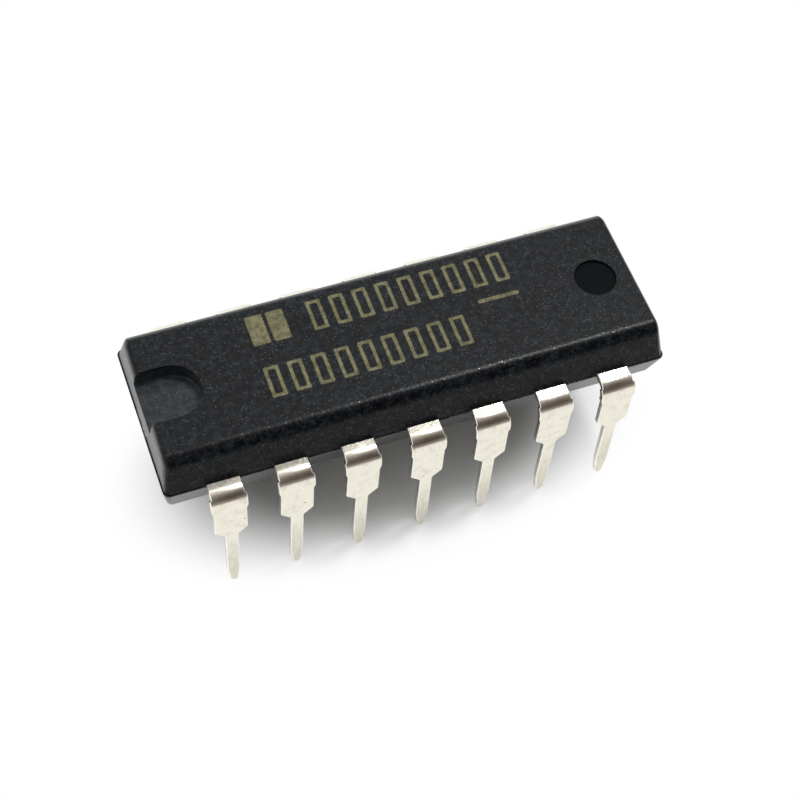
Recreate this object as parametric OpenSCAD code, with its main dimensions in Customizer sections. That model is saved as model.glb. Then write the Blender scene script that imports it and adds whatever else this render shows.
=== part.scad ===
// Dual in-line package with fourteen leads: a moulded body around a stamped
// and plated lead frame that carries the die and its bond wires.
// The long axis is X with the notched end at -X, the leads stand on Z = 0,
// and the mould parts a little above the middle plane of the frame.

/* [Leads] */
// Distance between neighbouring leads of a row
pitch = 2.54; // [2.3:0.01:2.8]
// Thickness of the lead frame strip
strip_t = 0.25; // [0.2:0.01:0.36]
// Width of the wide blade of a lead, above its shoulders
blade_w = 1.26; // [1.1:0.01:1.5]
// Width of the narrow leg of a lead, below its shoulders
leg_w = 0.5; // [0.36:0.01:0.6]
// Height of the frame's middle plane above the tips of the leads
frame_z = 5.71; // [5.4:0.01:6.4]
// Distance from the side of the body to the outer face of the blades
lead_reach = 0.77; // [0.7:0.01:1.2]
// Inner radius of the bend
bend_r = 0.34; // [0.1:0.01:0.4]
// Outward lean of the blades and legs, in degrees
splay = 3; // [0:0.5:8]
// Depth of the shoulders' outer corners below the middle plane
shoulder_drop = 2.02; // [1.8:0.01:2.4]
// Height over which a shoulder slopes in to the leg
shoulder_slope = 0.35; // [0.1:0.01:0.6]
// Length over which a leg tapers to its tip
tip_taper = 1; // [0.4:0.05:1.6]
// Width of a leg at its rounded tip
tip_w = 0.3; // [0.16:0.01:0.34]
// Turn of the bend at which the dam bar stubs begin, in degrees
dam_angle = 36; // [10:1:80]
// Depth of the lower end of the dam bar stubs below the middle plane
dam_drop = 0.58; // [0.4:0.01:0.8]
// How far a dam bar stub stands out from the edge of the blade
dam_stub = 0.06; // [0.02:0.01:0.12]

/* [Body] */
// Length of the body beyond the centre of the last lead, at each end
end_margin = 2.17; // [1.9:0.005:2.6]
// Width of the body at its parting plane
body_w = 6.59; // [6.1:0.01:7.2]
// Height of the parting plane above the middle plane of the frame
parting_lift = 0.07; // [0:0.01:0.1]
// Height of the body above its parting plane
upper_h = 1.55; // [1.4:0.01:2.2]
// Depth of the body below its parting plane
lower_h = 1.53; // [1.2:0.01:1.7]
// Draft of the long sides above the parting plane, in degrees
upper_draft_angle = 15.6; // [5:0.1:22]
// Draft of the long sides below the parting plane, in degrees
lower_draft_angle = 18.2; // [5:0.1:22]
// Draft of both ends, in degrees
end_draft_angle = 6.8; // [3:0.1:15]
// Radius of the rounding along the long top edges
top_r = 0.59; // [0.1:0.01:0.7]
// Reach of that rounding in from either end
top_end_r = 0.25; // [0.1:0.01:0.6]
// Radius of the rounding along the bottom edges
bottom_r = 0.21; // [0.1:0.01:0.4]
// Radius of the four upright corners at the parting plane
corner_r = 0.25; // [0.1:0.01:0.5]
// How far the lower half stands out beyond the upper half
ledge = 0.04; // [0.01:0.01:0.08]

/* [Marks of the mould] */
// Width of the notch in the top at the first lead's end
notch_w = 2.2; // [1.6:0.01:2.6]
// Length of the notch from the end of the body
notch_len = 2.38; // [1.6:0.005:3]
// Depth of the notch
notch_depth = 0.65; // [0.3:0.01:0.9]
// Diameter of the round dimple at the other end
dimple_d = 1.6; // [1:0.05:2]
// Depth of the round dimple
dimple_depth = 0.12; // [0.05:0.01:0.3]
// Distance from the end of the body to the dimple's centre
dimple_inset = 1.72; // [1.4:0.005:3]
// Diameter of the two ejector marks underneath
ejector_d = 1.5; // [1:0.05:2]
// Depth of the two ejector marks
ejector_depth = 0.06; // [0.03:0.01:0.2]
// Distance from the end of the body to the centre of an ejector mark
ejector_inset = 3.6; // [2:0.1:5]
// Width of the broken mould gate in the notched end
gate_w = 1.26; // [0.8:0.01:1.6]
// Height of the broken gate, half of it above the parting plane
gate_h = 0.34; // [0.2:0.01:0.5]
// Depth of the broken gate
gate_depth = 0.07; // [0.04:0.01:0.15]

/* [Inner frame] */
// Length of the pad that carries the die
pad_len = 4.2; // [3:0.05:5]
// Width of the pad that carries the die
pad_w = 2.6; // [2:0.05:2.8]
// How far the pad is pressed down below the fingers
pad_sink = 0.25; // [0.1:0.01:0.4]
// Width of the tie bars that run from the pad to both ends
tie_w = 0.4; // [0.3:0.01:0.5]
// Length of the sloping step in a tie bar
tie_step = 0.35; // [0.2:0.01:0.6]
// Least gap between the fingers, the pad and the tie bars
frame_gap = 0.25; // [0.2:0.01:0.3]
// Width of a finger at the pad
finger_w = 0.4; // [0.3:0.01:0.45]
// Length of the full-width root of a finger inside the body
root_len = 0.7; // [0.4:0.01:0.9]
// Length over which the root narrows to the neck
root_taper = 0.3; // [0.1:0.01:0.4]
// Width of the neck behind the root
neck_w = 0.62; // [0.5:0.01:0.8]
// Straight length at the end of the outer fingers
finger_run = 0.8; // [0.5:0.05:1.2]

/* [Die and wires] */
// Length of the silicon die
die_len = 1.7; // [1.2:0.05:2.4]
// Width of the silicon die
die_w = 1.4; // [1.1:0.05:1.8]
// Thickness of the silicon die
die_t = 0.3; // [0.2:0.01:0.4]
// Thickness of the paste under the die
paste_t = 0.03; // [0.02:0.01:0.06]
// How far the paste spreads beyond the die
paste_margin = 0.1; // [0.02:0.01:0.15]
// Distance from the die's edges to the centres of its bond sites
bond_inset = 0.12; // [0.08:0.01:0.2]
// Diameter of a bond wire
wire_d = 0.033; // [0.025:0.001:0.05]
// Rise of a wire's arch above the line between its two bonds
wire_rise = 0.28; // [0.2:0.01:0.4]
// Diameter of the ball that bonds a wire to the die
ball_d = 0.09; // [0.07:0.005:0.12]
// Height of that ball
ball_h = 0.04; // [0.035:0.005:0.06]
// Diameter of the foot that bonds a wire to its finger
foot_d = 0.1; // [0.08:0.005:0.14]
// Height of that foot
foot_h = 0.04; // [0.035:0.005:0.06]
// Distance from the end of a finger to its bond
foot_inset = 0.2; // [0.1:0.01:0.3]

/* [Hidden] */
$fn = 48;
LEADS_PER_ROW = 7;
LEADS = 2 * LEADS_PER_ROW;

// Lead number 4 stands in the middle of the first row
MIDDLE = (LEADS_PER_ROW + 1) / 2;

// Smoothness of the shapes that a hull is drawn around
HULL_FN = 32;

// Sides of a bond wire's section
WIRE_SIDES = 12;

// Upright land on either side of the parting plane
land = 0.02;
body_len = (LEADS_PER_ROW - 1) * pitch + 2 * end_margin;

// Levels
parting_z = frame_z + parting_lift;
top_z = parting_z + upper_h;
bottom_z = parting_z - lower_h;
finger_top = frame_z + strip_t / 2;
pad_top = finger_top - pad_sink;
die_top = pad_top + paste_t + die_t;

// Where a lead's shelf ends and its bend begins, from the middle of the package:
// the bend is tangent to the outer face, which leans out through the middle
// plane at the stated reach
bend_y = body_w / 2 + lead_reach
    + (strip_t / 2 + bend_r) * tan(splay)
    - (bend_r + strip_t) / cos(splay);

// Inner ends of the fingers
tip_x = pad_len / 2 + frame_gap;
tip_y = pad_w / 2 + frame_gap;
near_y = tie_w / 2 + frame_gap + finger_w / 2;
far_y = near_y + finger_w + frame_gap;

// Colours
MOULDING = "#2c2f31";
PLATING = "#d9d6c8";
COPPER = "#b87a56";
SILVER_PASTE = "#a3a6a8";
SILICON = "#5a6270";
GOLD = "#d8b04a";

// Place of a lead along its row: 0 in the middle, negative towards the notch
function place(n) = (n - 1) % LEADS_PER_ROW + 1 - MIDDLE;

// A half outline and its mirror image
function both_sides(half) =
    concat(half, [for (i = [len(half) - 1:-1:0]) [-half[i].x, half[i].y]]);

// Unit vector from one point to another
function heading(a, b) = (b - a) / norm(b - a);

// Sideways offset at one point of a route, mitred between its two stretches
function mitre(route, i) =
    let (
        last = len(route) - 1,
        before = heading(route[max(i - 1, 0)], route[max(i, 1)]),
        after = heading(route[min(i, last - 1)], route[min(i + 1, last)]),
        middle = (before + after) / norm(before + after)
    )
    [-middle.y, middle.x] / (middle * before);

// Outline of a strip that follows a route, with a width at each point
function strip_outline(route, widths) = concat(
    [for (i = [0:len(route) - 1]) route[i] + mitre(route, i) * widths[i] / 2],
    [for (i = [len(route) - 1:-1:0]) route[i] - mitre(route, i) * widths[i] / 2]
);

// Route of a finger in plan, from outside the body to the pad, for the lead
// that stands m places from the middle of the row towards +X
function finger_route(m) =
    let (
        wall = body_w / 2,
        start = [
            [m * pitch, -bend_y],
            [m * pitch, -wall + root_len],
            [m * pitch, -wall + root_len + root_taper]
        ]
    )
    m == 0 ? concat(start, [[0, -tip_y]])
    : m == 1 ? concat(start, [[pad_len / 3, -tip_y]])
    : m == 2 ? concat(start, [[tip_x + finger_run, -far_y], [tip_x, -far_y]])
    : concat(start, [[(m - 0.5) * pitch, -near_y], [tip_x, -near_y]]);

// Widths of a finger along its route
function finger_widths(m) =
    concat([blade_w, blade_w, neck_w], [for (i = [0:(m < 2 ? 0 : 1)]) finger_w]);

// Bond site on the die, and bond on the finger, for the same lead
function die_site(m) =
    let (x = die_len / 2 - bond_inset, y = die_w / 2 - bond_inset)
    m < 3 ? [m * x / 2, -y] : [x, -y / 3];
function finger_site(m) =
    m == 0 ? [0, -tip_y - foot_inset]
    : m == 1 ? [pad_len / 3, -tip_y - foot_inset]
    : m == 2 ? [tip_x + foot_inset, -far_y]
    : [tip_x + foot_inset, -near_y];

// Distance from the parting edge in to the middle of an edge rounding with that
// height r and that reach, for a wall with that draft and height
function ball_inset(height, draft, r, reach) =
    tan(draft) * (height - r - land)
    + norm([reach * cos(draft), r * sin(draft)]) / cos(draft);

// Children drawn for lead n: the second row is the first one turned about
module at_lead(n) {
    rotate([0, 0, n > LEADS_PER_ROW ? 180 : 0])
        mirror([place(n) < 0 ? 1 : 0, 0, 0])
            children();
}

// A lead seen along its row: shelf, bend and leaning blade, with the outside to +X
module lead_section() {
    translate([body_w / 2 - root_len, -strip_t / 2])
        square([bend_y - body_w / 2 + root_len, strip_t]);
    translate([bend_y, -strip_t / 2 - bend_r]) {
        outer_r = bend_r + strip_t;
        intersection() {
            difference() {
                circle(outer_r);
                circle(bend_r);
            }
            polygon([
                [0, 0],
                2 * outer_r * [cos(splay), sin(splay)],
                2 * outer_r * [1, 1],
                2 * outer_r * [0, 1]
            ]);
        }
        rotate(splay)
            translate([bend_r, -2 * frame_z])
                square([strip_t, 2 * frame_z]);
    }
}

// The part of that section that carries the dam bar stubs
module dam_section() {
    far = 3 * (bend_r + strip_t);
    intersection() {
        lead_section();
        translate([bend_y, -strip_t / 2 - bend_r])
            polygon([
                [0, 0],
                far * [sin(dam_angle), cos(dam_angle)],
                [far, -frame_z],
                [0, -frame_z]
            ]);
    }
}

// A lead seen from outside: blade, shoulders, leg and tip
module lead_face() {
    polygon(both_sides([
        [blade_w / 2, strip_t],
        [blade_w / 2, -shoulder_drop],
        [leg_w / 2, -shoulder_drop - shoulder_slope],
        [leg_w / 2, -frame_z + tip_taper],
        [tip_w / 2, -frame_z + tip_w / 2]
    ]));
    translate([0, -frame_z + tip_w / 2])
        circle(d = tip_w);
}

// The dam bar stubs on both edges of the blade, seen from outside
module dam_face() {
    polygon(both_sides([
        [blade_w / 2 + dam_stub, strip_t],
        [blade_w / 2 + dam_stub, -dam_drop],
        [blade_w / 2, -dam_drop - 2.5 * dam_stub]
    ]));
}

// What a section along the row and a face seen from outside have in common
module formed() {
    intersection() {
        rotate([90, 0, -90])
            linear_extrude(2 * blade_w, center = true)
                children(0);
        rotate([90, 0, 0])
            linear_extrude(body_w + frame_z)
                children(1);
    }
}

// A lead in one piece from its bond finger to its tip
module lead(n) {
    m = abs(place(n));
    color(PLATING)
        at_lead(n)
            translate([0, 0, frame_z]) {
                translate([0, 0, -strip_t / 2])
                    linear_extrude(strip_t)
                        polygon(strip_outline(finger_route(m), finger_widths(m)));
                translate([m * pitch, 0, 0]) {
                    formed() {
                        lead_section();
                        lead_face();
                    }
                    formed() {
                        dam_section();
                        dam_face();
                    }
                }
            }
}

// The pad with its tie bars, which end at the gate and at the plain end
module die_pad() {
    left = body_len / 2 - gate_depth;
    right = body_len / 2;
    step_x = pad_len / 2 + frame_gap;
    color(COPPER)
        intersection() {
            translate([0, 0, bottom_z])
                linear_extrude(top_z - bottom_z) {
                    translate([-left, -tie_w / 2])
                        square([left + right, tie_w]);
                    translate([-pad_len / 2, -pad_w / 2])
                        square([pad_len, pad_w]);
                }
            translate([0, 0, finger_top])
                rotate([90, 0, 0])
                    linear_extrude(pad_w, center = true)
                        polygon([
                            [-left, 0],
                            [-step_x - tie_step, 0],
                            [-step_x, -pad_sink],
                            [step_x, -pad_sink],
                            [step_x + tie_step, 0],
                            [right, 0],
                            [right, -strip_t],
                            [step_x + tie_step, -strip_t],
                            [step_x, -pad_sink - strip_t],
                            [-step_x, -pad_sink - strip_t],
                            [-step_x - tie_step, -strip_t],
                            [-left, -strip_t]
                        ]);
        }
}

// The layer of paste that holds the die
module die_attach() {
    color(SILVER_PASTE)
        translate([-die_len / 2 - paste_margin, -die_w / 2 - paste_margin, pad_top])
            cube([die_len + 2 * paste_margin, die_w + 2 * paste_margin, paste_t]);
}

// The die
module silicon_die() {
    color(SILICON)
        translate([-die_len / 2, -die_w / 2, pad_top + paste_t])
            cube([die_len, die_w, die_t]);
}

// A bond wire: ball on the die, arched span and foot on the finger
module bond_wire(n) {
    m = abs(place(n));
    span = finger_site(m) - die_site(m);
    // In the upright plane of the wire, from the ball's base
    start = [0, ball_h / 2];
    end = [norm(span), finger_top - die_top + foot_h / 2];
    chord = norm(end - start);
    tilt = atan2(end.y - start.y, end.x - start.x);
    arch_r = (chord * chord / 4 + wire_rise * wire_rise) / (2 * wire_rise);
    half_turn = asin(chord / (2 * arch_r));
    middle = (start + end) / 2;
    color(GOLD)
        at_lead(n)
            translate([die_site(m).x, die_site(m).y, die_top])
                rotate([0, 0, atan2(span.y, span.x)]) {
                    cylinder(h = ball_h, d = ball_d);
                    translate([middle.x, 0, middle.y])
                        rotate([0, -tilt, 0])
                            translate([0, 0, wire_rise - arch_r])
                                rotate([90, 0, 0])
                                    rotate([0, 0, 90 - half_turn])
                                        rotate_extrude(angle = 2 * half_turn)
                                            translate([arch_r, 0])
                                                circle(d = wire_d, $fn = WIRE_SIDES);
                    translate([end.x, 0, finger_top - die_top])
                        cylinder(h = foot_h, d = foot_d);
                }
}

// A ball whose facets reach its poles, so that a flat laid over it is not lowered
module ball(r) {
    rotate_extrude($fn = HULL_FN)
        intersection() {
            circle(r, $fn = HULL_FN);
            translate([0, -r])
                square([r, 2 * r]);
        }
}

// Children at the four corners of a rectangle
module at_corners(length, width) {
    for (x = [-1, 1], y = [-1, 1])
        translate([x * length / 2, y * width / 2, 0])
            children();
}

// One half of the body, drawn upwards from the parting plane, which it passes
// by the height of the land; the rounding has radius edge_r along the sides and
// reaches end_r in from the ends
module body_half(length, width, height, side_draft, edge_r, end_r) {
    ends = 2 * ball_inset(height, end_draft_angle, edge_r, end_r);
    sides = 2 * ball_inset(height, side_draft, edge_r, edge_r);
    hull() {
        translate([0, 0, -land])
            at_corners(length - 2 * corner_r, width - 2 * corner_r)
                cylinder(r = corner_r, h = 2 * land, $fn = HULL_FN);
        translate([0, 0, height - edge_r])
            at_corners(length - ends, width - sides)
                scale([end_r / edge_r, 1, 1])
                    ball(edge_r);
    }
}

// Notch across the top of the first lead's end, open to that end
module notch() {
    translate([-body_len / 2, 0, top_z - notch_depth])
        linear_extrude(notch_depth + land) {
            translate([-notch_w, -notch_w / 2])
                square([notch_len + notch_w / 2, notch_w]);
            translate([notch_len - notch_w / 2, 0])
                circle(d = notch_w);
        }
}

// Round marks: the dimple on top and the ejector marks underneath
module round_marks() {
    translate([body_len / 2 - dimple_inset, 0, top_z - dimple_depth])
        cylinder(h = dimple_depth + land, d = dimple_d);
    for (side = [-1, 1])
        translate([side * (body_len / 2 - ejector_inset), 0, bottom_z - land])
            cylinder(h = ejector_depth + land, d = ejector_d);
}

// The place where the compound was broken off at the gate
module gate() {
    translate([-body_len / 2 - gate_depth, -gate_w / 2, parting_z - gate_h / 2])
        cube([2 * gate_depth, gate_w, gate_h]);
}

// The moulded body, with the frame, the die and the wires cast into it
module body() {
    color(MOULDING)
        difference() {
            translate([0, 0, parting_z]) {
                body_half(body_len - 2 * ledge, body_w - 2 * ledge, upper_h, upper_draft_angle, top_r, top_end_r);
                mirror([0, 0, 1])
                    body_half(body_len, body_w, lower_h, lower_draft_angle, bottom_r, bottom_r);
            }
            notch();
            round_marks();
            gate();
            die_pad();
            die_attach();
            silicon_die();
            for (n = [1:LEADS]) {
                lead(n);
                bond_wire(n);
            }
        }
}

body();
for (n = [1:LEADS])
    lead(n);
die_pad();
die_attach();
silicon_die();
for (n = [1:LEADS])
    bond_wire(n);
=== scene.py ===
from math import acos, cos, hypot, pi, radians, sin, tan

import bmesh
import bpy
from mathutils import Matrix, Vector, noise


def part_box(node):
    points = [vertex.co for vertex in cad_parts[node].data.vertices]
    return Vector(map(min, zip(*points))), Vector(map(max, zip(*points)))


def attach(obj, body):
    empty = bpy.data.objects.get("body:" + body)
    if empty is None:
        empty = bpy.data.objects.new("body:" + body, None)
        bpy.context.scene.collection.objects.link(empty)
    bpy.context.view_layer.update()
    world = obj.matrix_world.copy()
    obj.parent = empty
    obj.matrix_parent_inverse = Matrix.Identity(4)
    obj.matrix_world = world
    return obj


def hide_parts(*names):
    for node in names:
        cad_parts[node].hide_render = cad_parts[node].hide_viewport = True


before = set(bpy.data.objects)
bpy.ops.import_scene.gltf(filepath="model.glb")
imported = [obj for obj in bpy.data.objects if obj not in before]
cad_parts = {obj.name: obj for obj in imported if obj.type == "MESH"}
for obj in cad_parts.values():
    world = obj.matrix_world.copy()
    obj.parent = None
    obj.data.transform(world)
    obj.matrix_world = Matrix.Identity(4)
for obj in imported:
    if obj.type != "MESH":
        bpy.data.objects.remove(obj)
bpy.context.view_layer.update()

# Pieces are drawn in millimetres, and shrunk to metres when they are finished.
MM = 0.001

# Package
LEADS_PER_ROW = 7
LEADS = 2 * LEADS_PER_ROW
PITCH = 2.54
FRAME_Z = 5.71
PARTING_Z = 5.78
LAND = 0.02
BODY_LOW, BODY_HIGH = (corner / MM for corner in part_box("body"))
BODY_LEN = BODY_HIGH.x - BODY_LOW.x
BODY_W = BODY_HIGH.y - BODY_LOW.y
TOP_Z = BODY_HIGH.z
BOTTOM_Z = BODY_LOW.z

# Body
LEDGE = 0.04
CORNER_R = 0.25
END_DRAFT = radians(6.8)
TOP_DRAFT, TOP_R, TOP_END_R = radians(15.6), 0.59, 0.25
BOTTOM_DRAFT, BOTTOM_R = radians(18.2), 0.21
NOTCH_W, NOTCH_LEN, NOTCH_DEPTH = 2.2, 2.38, 0.65
DIMPLE_R, DIMPLE_DEPTH, DIMPLE_INSET = 0.8, 0.12, 1.72
EJECTOR_R, EJECTOR_DEPTH, EJECTOR_INSET = 0.75, 0.06, 3.6
GATE_W, GATE_H, GATE_DEPTH = 1.26, 0.34, 0.07
NOTCH_FLOOR_R, DIMPLE_FLOOR_R, EJECTOR_FLOOR_R, RIM_R = 0.07, 0.03, 0.02, 0.035
# Rims of the marks turn by more than this and lie further than this from the parting plane
RIM_TURN, RIM_OFF_PARTING = radians(50), 0.4
BODY_SHARP, LEAD_SHARP = radians(35), radians(50)
# The gate's tear: each wave's depth and waves per mm, how far in it reaches, and its largest face
TEAR = [(0.05, 5), (0.02, 17)]
TEAR_REACH, TEAR_FACE = 0.12, 0.01

# Leads
STRIP_T = 0.25
BEND_R = 0.34
LEAN = radians(3)
REACH = 0.77
BLADE_W, LEG_W, TIP_W = 1.26, 0.5, 0.3
DAM_TURN, DAM_DROP, DAM_STUB = radians(36), 0.58, 0.06
DAM_SLOPE, DAM_FOOT = 0.03, 2.5 * DAM_STUB
SHOULDER_DROP, SHOULDER_SLOPE, TIP_TAPER = 2.02, 0.35, 1.0
# Rounded end of a leg: share of the tip's half width, and height above the tip
TIP_ROUNDING = [(1, TIP_W * 0.55), (0.62, TIP_W * 0.12), (0.2, 0.008)]
BEND_MID = BEND_R + STRIP_T / 2
BEND_TURN = pi / 2 - LEAN
BEND_LEN = BEND_MID * BEND_TURN
BEND_Y = BODY_W / 2 + REACH + BEND_MID * tan(LEAN) - (BEND_R + STRIP_T) / cos(LEAN)
# Lean of each lead along its row after handling, in radians towards the notch
SIDE_LEANS = [0.010, 0.020, 0.026, 0.020, 0.022, 0.030, 0.022,
              0.006, -0.008, 0.004, 0.010, -0.006, 0.008, -0.004]
LEAD_RIM_R, LEAD_CORNER_R = 0.04, 0.05
BEND_STEPS = 24

# Fingers of the leads inside the body
PAD_LEN, PAD_W, FRAME_GAP = 4.2, 2.6, 0.25
FINGER_W, ROOT_LEN, ROOT_TAPER, NECK_W, FINGER_RUN = 0.4, 0.7, 0.3, 0.62, 0.8
TIE_W = 0.4

# Marks on the top: rows of plain boxes, with each row's start in x, its boxes and its middle in y
MARK_ROWS = [
    {"From": -5.2, "Cells": 2.0, "Middle": 1.58, "Pitch": 0.8, "Half width": 0.33, "Stroke": 1.0},
    {"From": -2.95, "Cells": 9.0, "Middle": 1.58},
    {"From": -5.3, "Cells": 9.0, "Middle": -0.72},
    {"From": 3.35, "Cells": 1.0, "Middle": 0.28, "Pitch": 1.74,
     "Half width": 0.82, "Half height": 0.08},
]
MARK_SKIN = 0.06
# Where the notch is painted paler, as a paler tone on its floor and painted light on its shaded
# walls: margin around the walls, start below the top, margin under the floor
PALER_NOTCH_AROUND, PALER_NOTCH_BELOW, PALER_NOTCH_UNDER = 0.03, 0.08, 0.02

# Room, in metres: the table, the dome, and the oval of shade on the table; between two multiples
# of its size the table's glow fades in over the shadow as painted light
TABLE_R, DOME_R = 1.5, 1.2
SHADE_X, SHADE_Y = 0.009, 0.0049
FADE_FROM, FADE_TO = 0.62, 1.32
# The dome's glow, where its dark side is, and how far from there it starts to darken
DOME_GLOW, DARK_SIDE, DARK_FROM = 1.2, (0.22, -0.72, 0.66), 0.25
# Light of the sky: overhead, how narrow it is there, and all around
OVERHEAD, NARROW, AROUND = 2.4, 6.0, 0.02


# Mesh tools

def placed(name, bm):
    """An object in the scene, made of bm, which is used up."""
    mesh = bpy.data.meshes.new(name)
    bm.to_mesh(mesh)
    bm.free()
    made = bpy.data.objects.new(name, mesh)
    bpy.context.scene.collection.objects.link(made)
    return made


def finished(name, bm, slot, stands_for, *finishes):
    """Make the piece of bm, in metres, with its materials, riding on the package."""
    bmesh.ops.scale(bm, vec=(MM, MM, MM), verts=bm.verts)
    piece = placed(name, bm)
    for finish in finishes:
        piece.data.materials.append(finish)
    shading = piece.modifiers.new("flats stay flat", "WEIGHTED_NORMAL")
    shading.keep_sharp = True
    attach(piece, "root")
    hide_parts(stands_for)


def carved(block_bm, *cuts):
    """block_bm after its Boolean cuts, each an operation and a bmesh."""
    block = placed("blank", block_bm)
    tools = []
    for operation, tool_bm in cuts:
        tool = placed("blank", tool_bm)
        cut = block.modifiers.new("cut", "BOOLEAN")
        cut.operation, cut.object, cut.solver = operation, tool, "EXACT"
        tools.append(tool)
    bpy.context.view_layer.update()
    result = bmesh.new()
    result.from_object(block, bpy.context.evaluated_depsgraph_get())
    for blank in [block] + tools:
        bpy.data.meshes.remove(blank.data)
    bmesh.ops.remove_doubles(result, verts=result.verts, dist=1e-5)
    return result


def raise_flat(bm, height):
    """Turn the flat shape in bm into a solid of that height above it."""
    raised = bmesh.ops.extrude_face_region(bm, geom=bm.faces[:])
    bmesh.ops.translate(bm, vec=(0, 0, height),
                        verts=[v for v in raised["geom"] if isinstance(v, bmesh.types.BMVert)])
    bmesh.ops.recalc_face_normals(bm, faces=bm.faces)


def mark_sharp(bm, angle):
    """Smooth faces, with the edges that turn by more than angle left sharp."""
    for face in bm.faces:
        face.smooth = True
    for edge in bm.edges:
        edge.smooth = edge.is_manifold and abs(edge.calc_face_angle_signed()) < angle


# Moulded body

def ball_inset(height, draft, r, reach):
    """From the parting edge in to the middle of an edge rounding of height r."""
    return tan(draft) * (height - r - LAND) + hypot(reach * cos(draft), r * sin(draft)) / cos(draft)


def mould_half(length, width, height, draft, edge_r, end_r):
    """Half of the body, upwards from the parting plane, drawn tight around its corners."""
    bm = bmesh.new()
    ball_x = length / 2 - ball_inset(height, END_DRAFT, edge_r, end_r)
    ball_y = width / 2 - ball_inset(height, draft, edge_r, edge_r)
    for side_x in (-1, 1):
        for side_y in (-1, 1):
            ball = (side_x * ball_x, side_y * ball_y, height - edge_r)
            flattened = Matrix.Diagonal((end_r / edge_r, 1, 1, 1))
            bmesh.ops.create_uvsphere(bm, u_segments=72, v_segments=36, radius=edge_r,
                                      matrix=Matrix.Translation(ball) @ flattened)
            for z in (-LAND, LAND):
                corner = (side_x * (length / 2 - CORNER_R), side_y * (width / 2 - CORNER_R), z)
                bmesh.ops.create_circle(bm, segments=72, radius=CORNER_R,
                                        matrix=Matrix.Translation(corner))
    bmesh.ops.delete(bm, geom=bm.edges[:], context="EDGES_FACES")
    hull = bmesh.ops.convex_hull(bm, input=bm.verts[:])
    inner = [v for v in hull["geom_interior"] + hull["geom_unused"]
             if isinstance(v, bmesh.types.BMVert)]
    bmesh.ops.delete(bm, geom=list(set(inner)), context="VERTS")
    bmesh.ops.dissolve_limit(bm, angle_limit=radians(0.3), verts=bm.verts[:], edges=bm.edges[:])
    bmesh.ops.recalc_face_normals(bm, faces=bm.faces)
    return bm


def round_tool(radius, height, middle, fillet):
    """An upright cylinder from middle upwards, its lower edge rounded by fillet."""
    bm = bmesh.new()
    bmesh.ops.create_cone(bm, cap_ends=True, segments=96, radius1=radius, radius2=radius,
                          depth=height,
                          matrix=Matrix.Translation(middle + Vector((0, 0, height / 2))))
    foot = [e for e in bm.edges if all(v.co.z < middle.z + height / 2 for v in e.verts)]
    bmesh.ops.bevel(bm, geom=foot, affect="EDGES", offset=fillet,
                    segments=4, profile=0.5, material=-1)
    return bm


def notch_tool():
    """The notch's space, drawn out past the end of the body."""
    bm = bmesh.new()
    middle_x = BODY_LOW.x + NOTCH_LEN - NOTCH_W / 2
    bmesh.ops.create_circle(bm, cap_ends=True, segments=128, radius=NOTCH_W / 2,
                            matrix=Matrix.Translation((middle_x, 0, TOP_Z - NOTCH_DEPTH)))
    open_end = [v for v in bm.verts if v.co.x < middle_x - 1e-6]
    bmesh.ops.translate(bm, verts=open_end, vec=(-NOTCH_LEN, 0, 0))
    raise_flat(bm, 2 * NOTCH_DEPTH)
    foot = [e for e in bm.edges if all(v.co.z < TOP_Z - NOTCH_DEPTH / 2 for v in e.verts)]
    bmesh.ops.bevel(bm, geom=foot, affect="EDGES", offset=NOTCH_FLOOR_R,
                    segments=4, profile=0.5, material=-1)
    return bm


def gate_tool():
    """The broken gate's space, with a torn inner face."""
    bm = bmesh.new()
    middle = Vector((BODY_LOW.x, 0, PARTING_Z))
    bmesh.ops.create_cube(bm, size=1)
    bmesh.ops.scale(bm, vec=(2 * GATE_DEPTH, GATE_W, GATE_H), verts=bm.verts)
    bmesh.ops.translate(bm, vec=middle, verts=bm.verts)
    inner = [f for f in bm.faces if f.normal.x > 0.5]
    bmesh.ops.subdivide_edges(bm, edges=list(inner[0].edges), cuts=15, use_grid_fill=True)
    bmesh.ops.triangulate(bm, faces=bm.faces[:])
    for vert in bm.verts:
        if vert.co.x > middle.x:
            vert.co.x -= sum(depth * abs(noise.noise(vert.co * waves)) for depth, waves in TEAR)
    return bm


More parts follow.
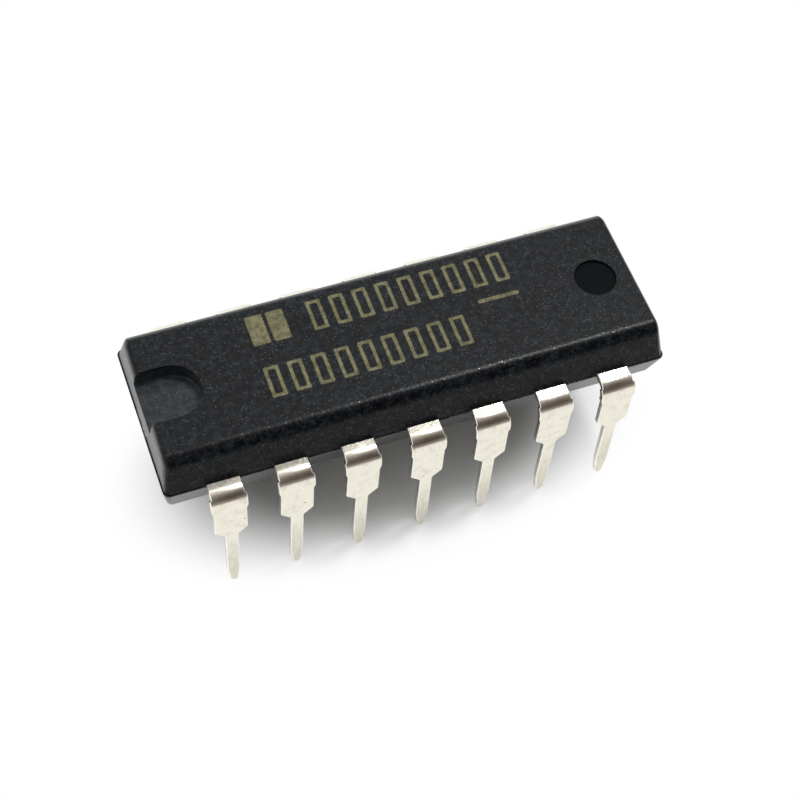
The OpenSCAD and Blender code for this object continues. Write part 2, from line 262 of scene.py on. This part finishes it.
def moulded_body():
    """Both halves of the body with its notch, dimple, gate and ejector marks."""
    upper = mould_half(BODY_LEN - 2 * LEDGE, BODY_W - 2 * LEDGE, TOP_Z - PARTING_Z,
                       TOP_DRAFT, TOP_R, TOP_END_R)
    lower = mould_half(BODY_LEN, BODY_W, PARTING_Z - BOTTOM_Z,
                       BOTTOM_DRAFT, BOTTOM_R, BOTTOM_R)
    bmesh.ops.rotate(lower, verts=lower.verts, matrix=Matrix.Rotation(pi, 3, "X"))
    for half in (upper, lower):
        bmesh.ops.translate(half, verts=half.verts, vec=(0, 0, PARTING_Z))
    dimple = Vector((BODY_HIGH.x - DIMPLE_INSET, 0, TOP_Z - DIMPLE_DEPTH))
    cuts = [
        ("UNION", upper),
        ("DIFFERENCE", notch_tool()),
        ("DIFFERENCE", round_tool(DIMPLE_R, 1, dimple, DIMPLE_FLOOR_R)),
        ("DIFFERENCE", gate_tool()),
    ]
    for side in (-1, 1):
        ejector = round_tool(EJECTOR_R, 1, Vector((0, 0, 0)), EJECTOR_FLOOR_R)
        bmesh.ops.rotate(ejector, verts=ejector.verts, matrix=Matrix.Rotation(pi, 3, "X"))
        place = (side * (BODY_LEN / 2 - EJECTOR_INSET), 0, BOTTOM_Z + EJECTOR_DEPTH)
        bmesh.ops.translate(ejector, verts=ejector.verts, vec=place)
        cuts.append(("DIFFERENCE", ejector))
    bm = carved(lower, *cuts)
    bmesh.ops.recalc_face_normals(bm, faces=bm.faces)
    rims = [e for e in bm.edges if e.is_manifold and e.calc_face_angle() > RIM_TURN
            and all(abs(v.co.z - PARTING_Z) > RIM_OFF_PARTING for v in e.verts)
            and e.calc_face_angle_signed() > 0]
    bmesh.ops.bevel(bm, geom=rims, affect="EDGES", offset=RIM_R,
                    segments=3, profile=0.5, material=-1, clamp_overlap=False)
    mark_sharp(bm, BODY_SHARP)
    for face in bm.faces:
        middle = face.calc_center_median()
        in_dimple = (middle - dimple).xy.length < DIMPLE_R and PARTING_Z < middle.z < TOP_Z - 0.01
        in_gate = (middle.x < -BODY_LEN / 2 + TEAR_REACH and abs(middle.y) < GATE_W / 2
                   and abs(middle.z - PARTING_Z) < GATE_H / 2 and face.calc_area() < TEAR_FACE)
        face.material_index = 1 if in_dimple else 2 if in_gate else 0
    finished("moulded_body", bm, "moulding", "body", COMPOUND, PIN_MARK, GATE_BREAK)


# Leads

def along(drop):
    """From the start of the bend along the strip's middle, to a drop below the frame's middle."""
    straight = BEND_MID * (1 - sin(LEAN))
    if drop < straight:
        return BEND_MID * acos(1 - drop / BEND_MID)
    return BEND_LEN + (drop - straight) / cos(LEAN)


def finger_route(m):
    """Middle of a finger in plan, from the wall to the pad, for a lead m places from the middle."""
    wall = BODY_W / 2
    near = TIE_W / 2 + FRAME_GAP + FINGER_W / 2
    painted_glow_share = near + FINGER_W + FRAME_GAP
    tip_x, tip_y = PAD_LEN / 2 + FRAME_GAP, PAD_W / 2 + FRAME_GAP
    start = [(m * PITCH, -wall + ROOT_LEN), (m * PITCH, -wall + ROOT_LEN + ROOT_TAPER)]
    inner = {
        0: [(0, -tip_y)],
        1: [(PAD_LEN / 3, -tip_y)],
        2: [(tip_x + FINGER_RUN, -painted_glow_share), (tip_x, -painted_glow_share)],
        3: [((m - 0.5) * PITCH, -near), (tip_x, -near)],
    }[m]
    return [Vector(p) for p in start + inner]


def beside(route, widths):
    """Right and left edges of a strip that follows a route."""
    right, left = [], []
    for i, point in enumerate(route):
        before = (route[max(i, 1)] - route[max(i, 1) - 1]).normalized()
        after = (route[min(i + 1, len(route) - 1)] - route[min(i, len(route) - 2)]).normalized()
        middle = (before + after) / (before + after).length
        offset = Vector((middle.y, -middle.x)) / middle.dot(before) * widths[i] / 2
        right.append(point + offset)
        left.append(point - offset)
    return right, left


def flat_lead(m):
    """The stamped strip before it is bent, in the frame's middle plane."""
    x = m * PITCH
    half, leg, tip = BLADE_W / 2, LEG_W / 2, TIP_W / 2
    dam_top = BEND_MID * (1 - cos(DAM_TURN))
    face = [
        (half, dam_top), (half + DAM_STUB, dam_top + DAM_SLOPE), (half + DAM_STUB, DAM_DROP),
        (half, DAM_DROP + DAM_FOOT), (half, SHOULDER_DROP), (leg, SHOULDER_DROP + SHOULDER_SLOPE),
        (leg, FRAME_Z - TIP_TAPER),
    ]
    face += [(tip * share, FRAME_Z - above) for share, above in TIP_ROUNDING]
    route = finger_route(m)
    widths = [BLADE_W, NECK_W] + [FINGER_W] * (len(route) - 2)
    right, left = beside(route, widths)
    outside_right = [Vector((x + w, -BEND_Y - along(drop))) for w, drop in face]
    outside_left = [Vector((x - w, -BEND_Y - along(drop))) for w, drop in face]
    outline = left[::-1] + outside_left + outside_right[::-1] + right
    bm = bmesh.new()
    bm.faces.new([bm.verts.new((p.x, p.y, FRAME_Z - STRIP_T / 2)) for p in outline])
    turns = [SHOULDER_DROP, SHOULDER_DROP + SHOULDER_SLOPE, FRAME_Z - TIP_TAPER]
    corners = [v for v in bm.verts
               if any(abs(v.co.y + BEND_Y + along(drop)) < 1e-4 for drop in turns)]
    bmesh.ops.bevel(bm, geom=corners, affect="VERTICES", offset=LEAD_CORNER_R,
                    segments=3, profile=0.5, material=-1)
    raise_flat(bm, STRIP_T)
    rim = [e for e in bm.edges
           if abs(e.verts[0].co.z - e.verts[1].co.z) < 1e-6 and e.calc_face_angle() > 1]
    rounded = bmesh.ops.bevel(bm, geom=rim, affect="EDGES", offset=LEAD_RIM_R,
                              segments=3, profile=0.5, material=-1, clamp_overlap=True)
    # The edge roundings take the brighter tin, a painted highlight.
    for face in rounded["faces"]:
        face.material_index = 1
    return bm


def bent(bm):
    """The strip folded down around its bend."""
    for k in range(BEND_STEPS + 1):
        line = (0, -BEND_Y - BEND_LEN * k / BEND_STEPS, 0)
        bmesh.ops.bisect_plane(bm, geom=bm.verts[:] + bm.edges[:] + bm.faces[:], dist=1e-5,
                               plane_co=line, plane_no=(0, 1, 0))
    centre_z = FRAME_Z - BEND_MID
    for vert in bm.verts:
        past = -BEND_Y - vert.co.y
        if past > 0:
            turn = min(past, BEND_LEN) / BEND_MID
            straight = max(past - BEND_LEN, 0)
            r = vert.co.z - centre_z
            vert.co.y = -BEND_Y - r * sin(turn) - straight * cos(turn)
            vert.co.z = centre_z + r * cos(turn) - straight * sin(turn)
    return bm


def lead(n):
    """Lead n, counted around the package from the notched end of the front row."""
    place = (n - 1) % LEADS_PER_ROW - LEADS_PER_ROW // 2
    bm = bent(flat_lead(abs(place)))
    if place < 0:
        bmesh.ops.scale(bm, vec=(-1, 1, 1), verts=bm.verts)
    side_lean = SIDE_LEANS[n - 1] if n <= LEADS_PER_ROW else -SIDE_LEANS[n - 1]
    for vert in bm.verts:
        if vert.co.y < -BEND_Y:
            vert.co.x -= side_lean * max(FRAME_Z - STRIP_T - vert.co.z, 0)
    if n > LEADS_PER_ROW:
        bmesh.ops.rotate(bm, verts=bm.verts, matrix=Matrix.Rotation(pi, 3, "Z"))
    bmesh.ops.recalc_face_normals(bm, faces=bm.faces)
    mark_sharp(bm, LEAD_SHARP)
    finished(f"plated_lead_{n}", bm, "plated_lead", f"lead_{n}", PLATED, RIM_PAINTED_HIGHLIGHT)


# Materials

def put(tree, kind, inputs=None, **settings):
    """A node with its settings, and its inputs given as values or as the sockets they come from."""
    made = tree.nodes.new(kind)
    for name, value in settings.items():
        setattr(made, name, value)
    for key, value in (inputs or {}).items():
        if isinstance(value, bpy.types.NodeSocket):
            tree.links.new(value, made.inputs[key])
        else:
            made.inputs[key].default_value = value
    return made


def maths(tree, operation, *values):
    return put(tree, "ShaderNodeMath", dict(enumerate(values)), operation=operation).outputs[0]


def ramp(tree, value, low, high, to_low=0.0, to_high=1.0):
    """value drawn out smoothly from low..high to to_low..to_high."""
    limits = {"From Min": low, "From Max": high, "To Min": to_low, "To Max": to_high}
    return put(tree, "ShaderNodeMapRange", {"Value": value, **limits},
               interpolation_type="SMOOTHSTEP").outputs["Result"]


def mixed(tree, factor, first, second):
    """Two colours mixed. Sockets 6, 7 and 2 of the node are its colours."""
    return put(tree, "ShaderNodeMix", {"Factor": factor, 6: first, 7: second},
               data_type="RGBA").outputs[2]


def group(name, inputs, outputs):
    """An empty node group with float or vector inputs and named outputs."""
    tree = bpy.data.node_groups.new(name, "ShaderNodeTree")
    for socket, default in inputs.items():
        kind = "NodeSocketVector" if default is None else "NodeSocketFloat"
        made = tree.interface.new_socket(socket, in_out="INPUT", socket_type=kind)
        if default is not None:
            made.default_value = default
    for socket in outputs:
        tree.interface.new_socket(socket, in_out="OUTPUT", socket_type="NodeSocketFloat")
    return tree, tree.nodes.new("NodeGroupInput").outputs, tree.nodes.new("NodeGroupOutput").inputs


def filled(tree, made_group, inputs):
    return put(tree, "ShaderNodeGroup", inputs, node_tree=made_group).outputs


def grain_group():
    """Pitted compound: a height, and a mask of the glassy filler that shows in it."""
    tree, given, out = group("compound grain", {"Place": None, "Grains per mm": 14.0},
                             ["Height", "Filler"])
    place, grains = given["Place"], given["Grains per mm"]
    fine = put(tree, "ShaderNodeTexNoise",
               {"Vector": place, "Scale": grains, "Detail": 2.0, "Roughness": 0.6})
    coarse = put(tree, "ShaderNodeTexNoise",
                 {"Vector": place, "Scale": maths(tree, "MULTIPLY", grains, 0.35),
                  "Detail": 3.0, "Roughness": 0.5})
    cells = put(tree, "ShaderNodeTexVoronoi", {"Vector": place, "Scale": grains})
    filler = ramp(tree, cells.outputs["Distance"], 0.15, 0.45, 1.0, 0.0)
    lot = put(tree, "ShaderNodeSeparateColor", {"Color": cells.outputs["Color"]}).outputs[0]
    shown = ramp(tree, lot, 0.62, 0.9)
    height = maths(tree, "ADD", maths(tree, "MULTIPLY", fine.outputs[0], 0.7),
                   maths(tree, "MULTIPLY", coarse.outputs[0], 0.9))
    tree.links.new(height, out["Height"])
    tree.links.new(maths(tree, "MULTIPLY", filler, shown), out["Filler"])
    return tree


def boxes_group():
    """A row of plain open boxes with soft, slightly ragged strokes, as a laser leaves them."""
    tree, given, out = group("marked boxes",
                             {"Place": None, "From": 0.0, "Middle": 0.0, "Cells": 1.0, "Pitch": 0.9,
                              "Half width": 0.28, "Half height": 0.66, "Stroke": 0.13}, ["Mask"])
    ragged = put(tree, "ShaderNodeTexNoise",
                 {"Vector": given["Place"], "Scale": 16.0, "Detail": 2.0})
    wander = maths(tree, "MULTIPLY", maths(tree, "SUBTRACT", ragged.outputs[0], 0.5), 0.05)
    place = put(tree, "ShaderNodeSeparateXYZ", {0: given["Place"]}).outputs
    x = maths(tree, "SUBTRACT", place[0], given["From"])
    row_len = maths(tree, "MULTIPLY", given["Cells"], given["Pitch"])
    in_row = maths(tree, "MULTIPLY", maths(tree, "GREATER_THAN", x, 0.0),
                   maths(tree, "LESS_THAN", x, row_len))
    cell_x = maths(tree, "SUBTRACT", maths(tree, "FLOORED_MODULO", x, given["Pitch"]),
                   maths(tree, "MULTIPLY", given["Pitch"], 0.5))
    off_x = maths(tree, "SUBTRACT", maths(tree, "ABSOLUTE", cell_x), given["Half width"])
    cell_y = maths(tree, "SUBTRACT", place[1], given["Middle"])
    off_y = maths(tree, "SUBTRACT", maths(tree, "ABSOLUTE", cell_y), given["Half height"])
    corner, soft = 0.12, 0.02
    depth = maths(tree, "ADD", maths(tree, "SMOOTH_MAX", off_x, off_y, corner), wander)
    outside = ramp(tree, depth, -soft, soft, 1.0, 0.0)
    inside = ramp(tree, maths(tree, "ADD", depth, given["Stroke"]), -soft, soft)
    mask = maths(tree, "MULTIPLY", maths(tree, "MULTIPLY", outside, inside), in_row)
    tree.links.new(mask, out["Mask"])
    return tree


def blotch_group():
    """Slow uneven patches, and fine streaks along Z."""
    tree, given, out = group("patches and streaks", {"Place": None, "Patches per mm": 1.0},
                             ["Patches", "Streaks"])
    patches = put(tree, "ShaderNodeTexNoise",
                  {"Vector": given["Place"], "Scale": given["Patches per mm"],
                   "Detail": 4.0, "Roughness": 0.6})
    drawn = put(tree, "ShaderNodeMapping", {"Vector": given["Place"], "Scale": (9.0, 9.0, 0.7)})
    streaks = put(tree, "ShaderNodeTexNoise",
                  {"Vector": drawn.outputs[0], "Scale": 1.6, "Detail": 3.0})
    tree.links.new(patches.outputs[0], out["Patches"])
    tree.links.new(streaks.outputs[0], out["Streaks"])
    return tree


GRAIN = grain_group()
BOXES = boxes_group()
BLOTCHES = blotch_group()


def material(name):
    """A material, its tree, its shader, and the place on the piece in millimetres."""
    made = bpy.data.materials.new(name)
    made.use_nodes = True
    tree = made.node_tree
    shader = tree.nodes["Principled BSDF"]
    coordinate = put(tree, "ShaderNodeTexCoord")
    place = put(tree, "ShaderNodeMapping",
                {"Vector": coordinate.outputs["Object"], "Scale": (1 / MM,) * 3})
    return made, tree, shader.inputs, place.outputs[0]


def bare_material(name):
    """A material with nothing but its output, and its tree."""
    made = bpy.data.materials.new(name)
    made.use_nodes = True
    made.node_tree.nodes.remove(made.node_tree.nodes["Principled BSDF"])
    return made, made.node_tree


def bump(tree, height, depth):
    made = put(tree, "ShaderNodeBump", {"Height": height, "Distance": depth * MM, "Strength": 1.0})
    return made.outputs[0]


def marked_top(tree, place, height):
    """A mask of the rows of boxes, on the top alone."""
    mask = None
    for row in MARK_ROWS:
        boxes = filled(tree, BOXES, {"Place": place, **row})["Mask"]
        mask = boxes if mask is None else maths(tree, "MAXIMUM", mask, boxes)
    on_top = maths(tree, "GREATER_THAN", height, TOP_Z - MARK_SKIN)
    return maths(tree, "MULTIPLY", mask, on_top)


def inside_notch(tree, along_x, along_y, height):
    """A mask of the floor and the walls of the notch."""
    mask = None
    sideways, depth = maths(tree, "ABSOLUTE", along_y), maths(tree, "MULTIPLY", height, -1.0)
    for value, limit in ((along_x, BODY_LOW.x + NOTCH_LEN + PALER_NOTCH_AROUND),
                         (sideways, NOTCH_W / 2 + PALER_NOTCH_AROUND),
                         (height, TOP_Z - PALER_NOTCH_BELOW),
                         (depth, NOTCH_DEPTH + PALER_NOTCH_UNDER - TOP_Z)):
        within = maths(tree, "LESS_THAN", value, limit)
        mask = within if mask is None else maths(tree, "MULTIPLY", mask, within)
    return mask


def compound():
    """Black moulding compound, pitted, mottled and specked, paler in the notch with painted light
    on its shaded walls, khaki if marked.
    """
    made, tree, shader, place = material("moulding_compound")
    dark, light = (0.0006, 0.001, 0.0018, 1), (0.002, 0.003, 0.004, 1)
    pit, warm_grey = (0.0105, 0.0148, 0.0185, 1), (0.020, 0.018, 0.018, 1)
    glassy = (0.035, 0.04, 0.042, 1)
    pale_notch_dark, pale_notch_light = (0.021, 0.027, 0.031, 1), (0.043, 0.049, 0.054, 1)
    khaki_dark, khaki_light = (0.108, 0.1, 0.05, 1), (0.205, 0.19, 0.103, 1)
    grain = filled(tree, GRAIN, {"Place": place, "Grains per mm": 11.0})
    large = filled(tree, BLOTCHES, {"Place": place, "Patches per mm": 0.5})["Patches"]
    small = filled(tree, BLOTCHES, {"Place": place, "Patches per mm": 7.0})["Patches"]
    plain = mixed(tree, ramp(tree, large, 0.3, 0.7), dark, light)
    pitted = mixed(tree, ramp(tree, grain["Height"], 0.72, 1.0), plain, pit)
    mottled = mixed(tree, ramp(tree, small, 0.52, 0.68, 0.0, 0.6), pitted, warm_grey)
    specked = mixed(tree, maths(tree, "MULTIPLY", grain["Filler"], 0.5), mottled, glassy)
    along_x, along_y, height = put(tree, "ShaderNodeSeparateXYZ", {0: place}).outputs
    raised = ramp(tree, grain["Height"], 0.6, 1.0)
    # The notch is painted paler: a paler tone on its floor, and painted light on its shaded walls.
    paler_notch_and_painted_light = maths(tree, "MULTIPLY", inside_notch(tree, along_x, along_y, height), 0.7)
    moulded = mixed(tree, paler_notch_and_painted_light, specked, mixed(tree, raised, pale_notch_dark, pale_notch_light))
    marked = marked_top(tree, place, height)
    colour = mixed(tree, marked, moulded, mixed(tree, raised, khaki_dark, khaki_light))
    tree.links.new(colour, shader["Base Color"])
    rough = ramp(tree, grain["Filler"], 0.0, 1.0, 0.3, 0.2)
    rougher = maths(tree, "ADD", rough, maths(tree, "MULTIPLY", marked, 0.25))
    tree.links.new(rougher, shader["Roughness"])
    tree.links.new(bump(tree, grain["Height"], 0.009), shader["Normal"])
    # Seen from above the skin hardly shines, and seen edge on it does.
    edge_on = put(tree, "ShaderNodeLayerWeight", {"Blend": 0.5}).outputs["Facing"]
    gloss = ramp(tree, edge_on, 0.42, 0.66, 0.13, 0.75)
    glints = maths(tree, "MULTIPLY", grain["Filler"], 0.35)
    tree.links.new(maths(tree, "ADD", gloss, glints), shader["Specular IOR Level"])
    return made


def pin_mark():
    """The matt floor of the dimple."""
    made, tree, shader, place = material("pin_mark_compound")
    patches = filled(tree, BLOTCHES, {"Place": place, "Patches per mm": 3.0})["Patches"]
    colour = mixed(tree, patches, (0.0032, 0.004, 0.0045, 1), (0.007, 0.0082, 0.009, 1))
    tree.links.new(colour, shader["Base Color"])
    tree.links.new(ramp(tree, patches, 0.2, 0.8, 0.7, 0.85), shader["Roughness"])
    grain = filled(tree, GRAIN, {"Place": place, "Grains per mm": 20.0})
    tree.links.new(bump(tree, grain["Height"], 0.003), shader["Normal"])
    shader["Specular IOR Level"].default_value = 0.03
    return made


def gate_break():
    """Compound torn where the gate broke off."""
    made, tree, shader, place = material("torn_compound")
    grain = filled(tree, GRAIN, {"Place": place, "Grains per mm": 9.0})
    colour = mixed(tree, ramp(tree, grain["Height"], 0.5, 1.1),
                   (0.004, 0.0045, 0.005, 1), (0.03, 0.033, 0.034, 1))
    tree.links.new(colour, shader["Base Color"])
    tree.links.new(bump(tree, grain["Height"], 0.05), shader["Normal"])
    shader["Roughness"].default_value = 0.7
    shader["Specular IOR Level"].default_value = 0.3
    return made


def plated():
    """Tin plate, streaked along the lead and duller towards the tip."""
    made, tree, shader, place = material("tin_plate")
    marks = filled(tree, BLOTCHES, {"Place": place, "Patches per mm": 2.2})
    bright, dull, streak = (0.85, 0.82, 0.71, 1), (0.74, 0.7, 0.58, 1), (0.66, 0.62, 0.54, 1)
    tip_dull_colour, stain = (0.62, 0.585, 0.49, 1), (0.16, 0.12, 0.09, 1)
    patchy = mixed(tree, ramp(tree, marks["Patches"], 0.45, 0.75), bright, dull)
    streaky = mixed(tree, ramp(tree, marks["Streaks"], 0.55, 0.8, 0.0, 0.5), patchy, streak)
    specks = put(tree, "ShaderNodeTexNoise", {"Vector": place, "Scale": 9.0, "Detail": 1.0})
    height = put(tree, "ShaderNodeSeparateXYZ", {0: place}).outputs[2]
    # Duller lower down the leg, towards the tip, in streaks.
    towards_tip = maths(tree, "MULTIPLY", ramp(tree, height, 3.4, 1.2, 0.0, 0.75),
                    ramp(tree, marks["Streaks"], 0.3, 0.6, 0.5, 1.0))
    duller = mixed(tree, towards_tip, streaky, tip_dull_colour)
    colour = mixed(tree, ramp(tree, specks.outputs[0], 0.74, 0.8), duller, stain)
    tree.links.new(colour, shader["Base Color"])
    shader["Metallic"].default_value = 1.0
    tree.links.new(ramp(tree, marks["Patches"], 0.3, 0.8, 0.19, 0.28), shader["Roughness"])
    tree.links.new(bump(tree, marks["Streaks"], 0.002), shader["Normal"])
    return made


def rim_painted_highlight():
    """Tin painted brighter on the roundings along the edges of a lead, a painted highlight."""
    made, tree, shader, place = material("tin_rim_painted_highlight")
    marks = filled(tree, BLOTCHES, {"Place": place, "Patches per mm": 4.0})
    colour = mixed(tree, ramp(tree, marks["Patches"], 0.35, 0.7),
                   (1.0, 0.99, 0.94, 1), (0.86, 0.83, 0.74, 1))
    tree.links.new(colour, shader["Base Color"])
    shader["Metallic"].default_value = 1.0
    tree.links.new(ramp(tree, marks["Patches"], 0.3, 0.8, 0.2, 0.35), shader["Roughness"])
    tree.links.new(bump(tree, marks["Streaks"], 0.003), shader["Normal"])
    return made


def inner_metal(name, light, dark, roughness, metallic):
    made, tree, shader, place = material(name)
    marks = filled(tree, BLOTCHES, {"Place": place, "Patches per mm": 1.5})
    tree.links.new(mixed(tree, marks["Patches"], dark, light), shader["Base Color"])
    tree.links.new(bump(tree, marks["Streaks"], 0.002), shader["Normal"])
    shader["Metallic"].default_value = metallic
    shader["Roughness"].default_value = roughness
    return made


COMPOUND = compound()
PIN_MARK = pin_mark()
GATE_BREAK = gate_break()
PLATED = plated()
RIM_PAINTED_HIGHLIGHT = rim_painted_highlight()
STRIP = inner_metal("bare_strip", (0.72, 0.47, 0.33, 1), (0.45, 0.26, 0.17, 1), 0.4, 1.0)
PASTE = inner_metal("cured_paste", (0.62, 0.63, 0.64, 1), (0.4, 0.41, 0.42, 1), 0.6, 0.6)
SILICON = inner_metal("silicon", (0.36, 0.4, 0.47, 1), (0.25, 0.28, 0.34, 1), 0.18, 0.7)
GOLD = inner_metal("gold", (0.9, 0.68, 0.3, 1), (0.75, 0.52, 0.2, 1), 0.25, 1.0)


# The object

moulded_body()
inner_finish = {"die_pad": STRIP, "die_attach": PASTE, "silicon_die": SILICON}
for number in range(1, LEADS + 1):
    lead(number)
    inner_finish[f"bond_wire_{number}"] = GOLD
for node, finish in inner_finish.items():
    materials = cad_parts[node].data.materials
    materials.clear()
    materials.append(finish)


# Floor, room and light

def looked_along(tree):
    """1 on the rays that show the floor and the sky as such, and 0 on those that light by them."""
    ray = put(tree, "ShaderNodeLightPath").outputs
    straight = maths(tree, "MAXIMUM", ray["Is Camera Ray"], ray["Is Glossy Ray"])
    return maths(tree, "MAXIMUM", straight, ray["Is Transmission Ray"])


def floor():
    """A white table, not seen from below, shaded close to the package alone: further out a glow
    seen by the camera and in reflections is painted light over its shadow, and past that the white
    backdrop.
    """
    bm = bmesh.new()
    bmesh.ops.create_circle(bm, cap_ends=True, segments=96, radius=TABLE_R)
    table = placed("floor", bm)
    made, tree = bare_material("white_table")
    place = put(tree, "ShaderNodeTexCoord").outputs["Object"]
    to_oval = (1 / SHADE_X, 1 / SHADE_Y, 0)
    oval = put(tree, "ShaderNodeVectorMath", {0: place, 1: to_oval}, operation="MULTIPLY")
    away = put(tree, "ShaderNodeVectorMath", {0: oval.outputs[0]}, operation="LENGTH")
    # Painted light: between the two sizes of the oval the glow fades in over the package's shadow.
    faded = ramp(tree, away.outputs["Value"], FADE_FROM, FADE_TO)
    painted_glow_share = maths(tree, "MULTIPLY", faded, looked_along(tree))
    matt = put(tree, "ShaderNodeBsdfDiffuse", {"Color": (0.95, 0.95, 0.95, 1)})
    white = put(tree, "ShaderNodeEmission", {"Color": (1, 1, 1, 1), "Strength": 1.0})
    both = put(tree, "ShaderNodeMixShader", {0: painted_glow_share, 1: matt.outputs[0], 2: white.outputs[0]})
    below = put(tree, "ShaderNodeNewGeometry").outputs["Backfacing"]
    clear = put(tree, "ShaderNodeBsdfTransparent")
    either = put(tree, "ShaderNodeMixShader", {0: below, 1: both.outputs[0], 2: clear.outputs[0]})
    tree.links.new(either.outputs[0], tree.nodes["Material Output"].inputs["Surface"])
    table.data.materials.append(made)


def studio_dome():
    """What shiny faces mirror: white behind the package, a dark brown room in front and above."""
    bm = bmesh.new()
    bmesh.ops.create_uvsphere(bm, u_segments=96, v_segments=48, radius=DOME_R)
    bmesh.ops.delete(bm, geom=[v for v in bm.verts if v.co.z < -0.01], context="VERTS")
    dome = placed("studio_dome", bm)
    made, tree = bare_material("studio_dome")
    place = put(tree, "ShaderNodeTexCoord").outputs["Object"]
    towards = put(tree, "ShaderNodeVectorMath", {0: place}, operation="NORMALIZE").outputs[0]
    darkest = Vector(DARK_SIDE).normalized()
    nearness = put(tree, "ShaderNodeVectorMath", {0: towards, 1: darkest}, operation="DOT_PRODUCT")
    share = put(tree, "ShaderNodeMapRange",
                {"Value": nearness.outputs["Value"], "From Min": DARK_FROM, "From Max": 1.0})
    shades = put(tree, "ShaderNodeValToRGB", {0: share.outputs["Result"]})
    stops = shades.color_ramp.elements
    stops[0].color = (1, 1, 1, 1)
    stops[1].color = (0.042, 0.03, 0.026, 1)
    middle = stops.new(0.6)
    middle.color = (0.36, 0.31, 0.3, 1)
    glow = put(tree, "ShaderNodeEmission", {"Color": shades.outputs[0], "Strength": DOME_GLOW})
    tree.links.new(glow.outputs[0], tree.nodes["Material Output"].inputs["Surface"])
    dome.data.materials.append(made)
    dome.visible_camera = False
    dome.visible_diffuse = False
    dome.visible_shadow = False


def lamp(name, towards, distance, size, strength):
    """A soft lamp in that direction from the chip, as bright as strength times a white card."""
    data = bpy.data.lights.new(name, "AREA")
    data.shape = "DISK"
    data.size = size
    data.energy = strength * pi * pi * (size / 2) ** 2
    made = bpy.data.objects.new(name, data)
    bpy.context.scene.collection.objects.link(made)
    direction = Vector(towards).normalized()
    turn = direction.to_track_quat("Z", "Y").to_matrix().to_4x4()
    made.matrix_world = Matrix.Translation(direction * distance) @ turn


floor()
studio_dome()
lamp("softbox", (0.22, 0.48, 0.85), distance=0.8, size=0.7, strength=0.35)
lamp("key", (0.34, 0.16, 0.93), distance=0.8, size=0.13, strength=62.0)

# The sky is white where it is seen, and lights from overhead.
world = bpy.data.worlds.new("studio")
bpy.context.scene.world = world
world.use_nodes = True
sky = world.node_tree
towards = put(sky, "ShaderNodeTexCoord").outputs["Generated"]
upwards = maths(sky, "MAXIMUM", put(sky, "ShaderNodeSeparateXYZ", {0: towards}).outputs[2], 0.0)
overhead = maths(sky, "MULTIPLY", maths(sky, "POWER", upwards, NARROW), OVERHEAD)
lit = maths(sky, "ADD", overhead, AROUND)
strength = put(sky, "ShaderNodeMix", {"Factor": looked_along(sky), "A": lit, "B": 1.0})
sky.links.new(strength.outputs["Result"], sky.nodes["Background"].inputs["Strength"])
sky.nodes["Background"].inputs["Color"].default_value = (1, 1, 1, 1)

# Camera, as the photograph was taken
right = Vector((0.93868559, -0.34030639, 0.05532567))
up = Vector((0.26183603, 0.80803599, 0.52774968))
back = Vector((-0.22430172, -0.48090477, 0.84759621))
eye = Vector((-14.669, -32.499, 59.558)) * MM
camera = bpy.data.objects.new("camera", bpy.data.cameras.new("camera"))
bpy.context.scene.collection.objects.link(camera)
camera.matrix_world = Matrix.Translation(eye) @ Matrix((right, up, back)).transposed().to_4x4()
camera.data.lens = 77.222
camera.data.sensor_width = 36
camera.data.clip_start = 0.001
bpy.context.scene.camera = camera
bpy.context.scene.view_settings.view_transform = "Standard"
